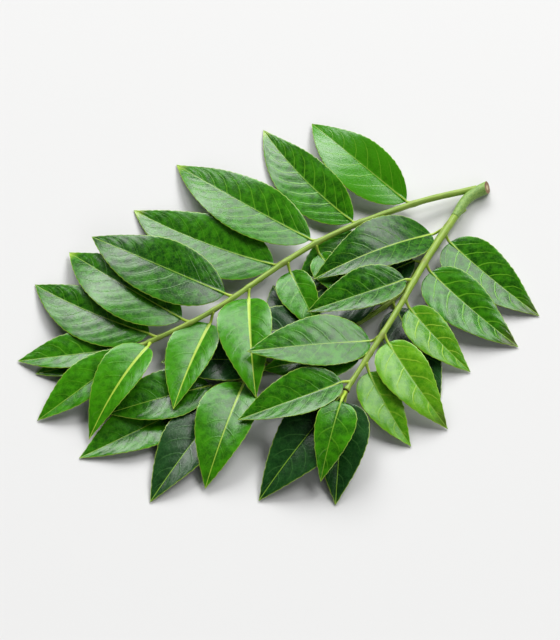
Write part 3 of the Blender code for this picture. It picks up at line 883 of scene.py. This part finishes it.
def stem_skin(name, stem_name, slant):
    """The finished skin of one stem, with what its material needs to know."""
    length = end_of(stem_name)
    distances = np.linspace(0, length, round(length / STEM_SPACING))
    centres, ahead = stem_points(stem_name, distances)
    share = distances / length
    radius, near_node = radius_of(stem_name, share), np.zeros_like(distances)
    if stem_name == "twig":
        radius = radius - TWIG_EASE * smooth(0.75, 1.0, share)
    for swelling in swellings(stem_name, distances):
        radius = radius + NODE_SWELLING * swelling
        near_node = np.maximum(near_node, swelling)

    turn = np.arange(4 * STEM_COLUMNS) / (4 * STEM_COLUMNS) * 2 * pi
    ribbing = np.sin(5 * turn) + np.sin(0.9 * distances[:, None] + 2 * turn)
    reach = radius[:, None] * (1 + UNEVENNESS * ribbing)
    left = unit(np.cross((0, 0, 1), ahead))
    up = np.cross(ahead, left)
    rings = centres[:, None] + (reach * np.cos(turn))[..., None] * left[:, None]
    rings = rings + (reach * np.sin(turn))[..., None] * up[:, None]
    fading = np.exp(-distances / SLANT_LENGTH)[:, None]
    cut_back = slant * reach * (1 + np.sin(turn + CUT_TURN)) * fading
    rings = rings + cut_back[..., None] * ahead[:, None]
    rings = np.vstack((cut_face(rings[0])[::-1], rings, cut_face(rings[-1])))

    pad, cut_in = np.zeros(len(CUT_RINGS)), 1 - np.array(CUT_RINGS)
    facts = {
        "along": np.concatenate((pad, share, pad + 1))[:, None],
        "turn": turn[None],
        "node": np.concatenate((pad, near_node, pad))[:, None],
        "cut": np.concatenate((cut_in[::-1], np.zeros_like(distances), cut_in))[:, None],
    }
    whole = np.ones(rings.shape[:2])
    return rolled_sheet(name, rings, {fact: value * whole for fact, value in facts.items()})


print("a stem has", 4 * STEM_COLUMNS, "columns of faces and", len(CUT_RINGS), "rings across each end")

# %% [markdown]
# Young bark is streaked along the stem in two greens, and browner where a leaflet grows out of
# it. The streaks are noise that is stretched along the stem: it reads how far round and how far
# along a place is. On the cut, the same finish goes over to brown bark and pale pith.

# %% Finish of the stems
NODE_BROWN = rgb(0.16, 0.13, 0.03)
CUT_BARK = rgb(0.20, 0.10, 0.035)
PITH = rgb(0.52, 0.42, 0.22)


def stem_finish(name, pale, green, roughness):
    """A material for stems."""
    stalk = Finish(name, Specular_IOR_Level=0.45)
    round_it, along_it = stalk.fact("turn") * 2.2, stalk.fact("along") * 9.0
    streak_place = stalk.node("CombineXYZ", {}, X=round_it, Y=along_it)
    streaks = stalk.node("TexNoise", {}, Vector=streak_place, Scale=1.6, Detail=3.0)
    blotches = stalk.noise(220.0)
    colour = (streaks.step(0.35, 0.65) * 0.7 + blotches * 0.3).mix(green, pale)
    browning = stalk.fact("node") * blotches.step(0.45, 0.7) * 0.6
    colour = browning.mix(colour, NODE_BROWN)
    cut = stalk.fact("cut")
    wood = cut.step(0.45, 0.75).mix(CUT_BARK, PITH)
    stalk.feed("Base Color", cut.step(0.001, 0.02).mix(colour, wood))
    stalk.feed("Roughness", roughness + 0.15 * blotches)
    relief = streaks + 0.4 * stalk.noise(1800.0)
    stalk.feed("Normal", stalk.node("Bump", {}, Strength=0.4, Distance=0.1 * MM, Height=relief))
    return stalk.material


RACHIS_FINISH = stem_finish("rachis", rgb(0.34, 0.48, 0.06), rgb(0.16, 0.30, 0.02), 0.40)
TWIG_FINISH = stem_finish("twig bark", rgb(0.27, 0.43, 0.09), rgb(0.13, 0.27, 0.04), 0.48)
print("finishes:", [RACHIS_FINISH.name, TWIG_FINISH.name])

# %% [markdown]
# Each stem stands for the plain solid of the same stem. Only the twig has a slanting cut.

# %% Make all the stems
for stem_name, piece_name, node, slot, finish, slant in (
    ("twig", "twig_bark", "twig", "twig_bark", TWIG_FINISH, 1.0),
    ("long", "long_rachis_bark", "long_rachis", "rachis_green", RACHIS_FINISH, 0.0),
    ("short", "short_rachis_bark", "short_rachis", "rachis_green", RACHIS_FINISH, 0.0),
    ("under", "under_rachis_bark", "under_rachis", "rachis_green", RACHIS_FINISH, 0.0),
):
    piece = stem_skin(piece_name, stem_name, slant)
    piece.data.materials.append(finish)
    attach(piece, "root")
    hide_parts(node)
    print(piece_name, len(piece.data.polygons), "faces")

# %% [markdown]
# The table is one large pale sheet, dull like paper, at the height of the sprig's lowest point.
# It isn't a part of the sprig, so it is staged.

# %% Table
TABLE_HALF = 3.0  # metres
floor_mesh = bpy.data.meshes.new("table")
sheet = bmesh.new()
bmesh.ops.create_grid(sheet, x_segments=1, y_segments=1, size=TABLE_HALF)
bmesh.ops.translate(sheet, vec=(0, 0, cad_box[0].z), verts=sheet.verts)
sheet.to_mesh(floor_mesh)
sheet.free()
floor = bpy.data.objects.new("table", floor_mesh)
bpy.context.scene.collection.objects.link(floor)
floor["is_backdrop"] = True
paper = Finish("pale paper", Base_Color=rgb(0.71, 0.71, 0.705), Roughness=0.9, Specular_IOR_Level=0.1)
floor_mesh.materials.append(paper.material)
print("the table lies at", round(cad_box[0].z / MM, 2), "mm")

# %% [markdown]
# The light comes from a big soft window behind the sprig, which lays a pale shine on every half
# blade that leans towards it. Smaller windows behind it on the right and on the left do the same
# for the blades that lean to a side. A weak light from the front and a dim room fill the shadows.

# %% Light
LAMP_DISTANCE = 6.0
ROOM_STRENGTH = 0.04


def soft_light(name, azimuth, elevation, width, height, power):
    """A lamp that faces the sprig. Azimuth 0 is in front of it and 90 on its right."""
    data = bpy.data.lights.new(name, "AREA")
    data.shape = "RECTANGLE"
    data.size, data.size_y = width, height
    data.energy = power
    lamp = bpy.data.objects.new(name, data)
    a, e = radians(azimuth), radians(elevation)
    lamp.location = LAMP_DISTANCE * Vector((sin(a) * cos(e), -cos(a) * cos(e), sin(e)))
    lamp.rotation_euler = lamp.location.to_track_quat("Z", "Y").to_euler()
    bpy.context.scene.collection.objects.link(lamp)
    print(f"{name}: {power:.0f} watts, {elevation} degrees up")


soft_light("window", azimuth=174, elevation=37, width=6.0, height=3.0, power=350.0)
soft_light("side window", azimuth=128, elevation=54, width=3.2, height=2.2, power=190.0)
soft_light("left window", azimuth=207, elevation=38, width=3.0, height=2.4, power=150.0)
soft_light("fill", azimuth=30, elevation=34, width=4.0, height=2.5, power=60.0)
world = bpy.data.worlds.new("room")
world.use_nodes = True
background = world.node_tree.nodes["Background"]
background.inputs["Color"].default_value = rgb(1.0, 1.0, 1.0)
background.inputs["Strength"].default_value = ROOM_STRENGTH
bpy.context.scene.world = world
bpy.context.scene.view_settings.view_transform = "Standard"

# %% [markdown]
# The camera looks down at the sprig from the front, from a little over half a metre away and
# through a long lens, so that the far leaflets aren't much smaller than the near ones.

# %% Camera
CAMERA_ELEVATION = radians(58)
CAMERA_DISTANCE = 0.560
camera_data = bpy.data.cameras.new("camera")
camera_data.lens = 90
camera_data.sensor_width = 36
camera = bpy.data.objects.new("camera", camera_data)
from_sprig = Vector((0, -cos(CAMERA_ELEVATION), sin(CAMERA_ELEVATION)))
camera.location = Vector(PLAN_SHIFT * MM) + CAMERA_DISTANCE * from_sprig
camera.rotation_euler = (pi / 2 - CAMERA_ELEVATION, 0, 0)
bpy.context.scene.collection.objects.link(camera)
bpy.context.scene.camera = camera
print("the camera looks down at", round(degrees(CAMERA_ELEVATION)), "degrees")

# %% [markdown]
# The last cell prints how far each side of the finished model's box lies from the plain model's box, so
# that the two can be compared.

# %% Compare the sizes and finish
visual_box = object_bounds()
growth = [[round(1000 * (b - a), 1) for a, b in zip(*corners)] for corners in zip(cad_box, visual_box)]
print("grown by", growth, "mm")
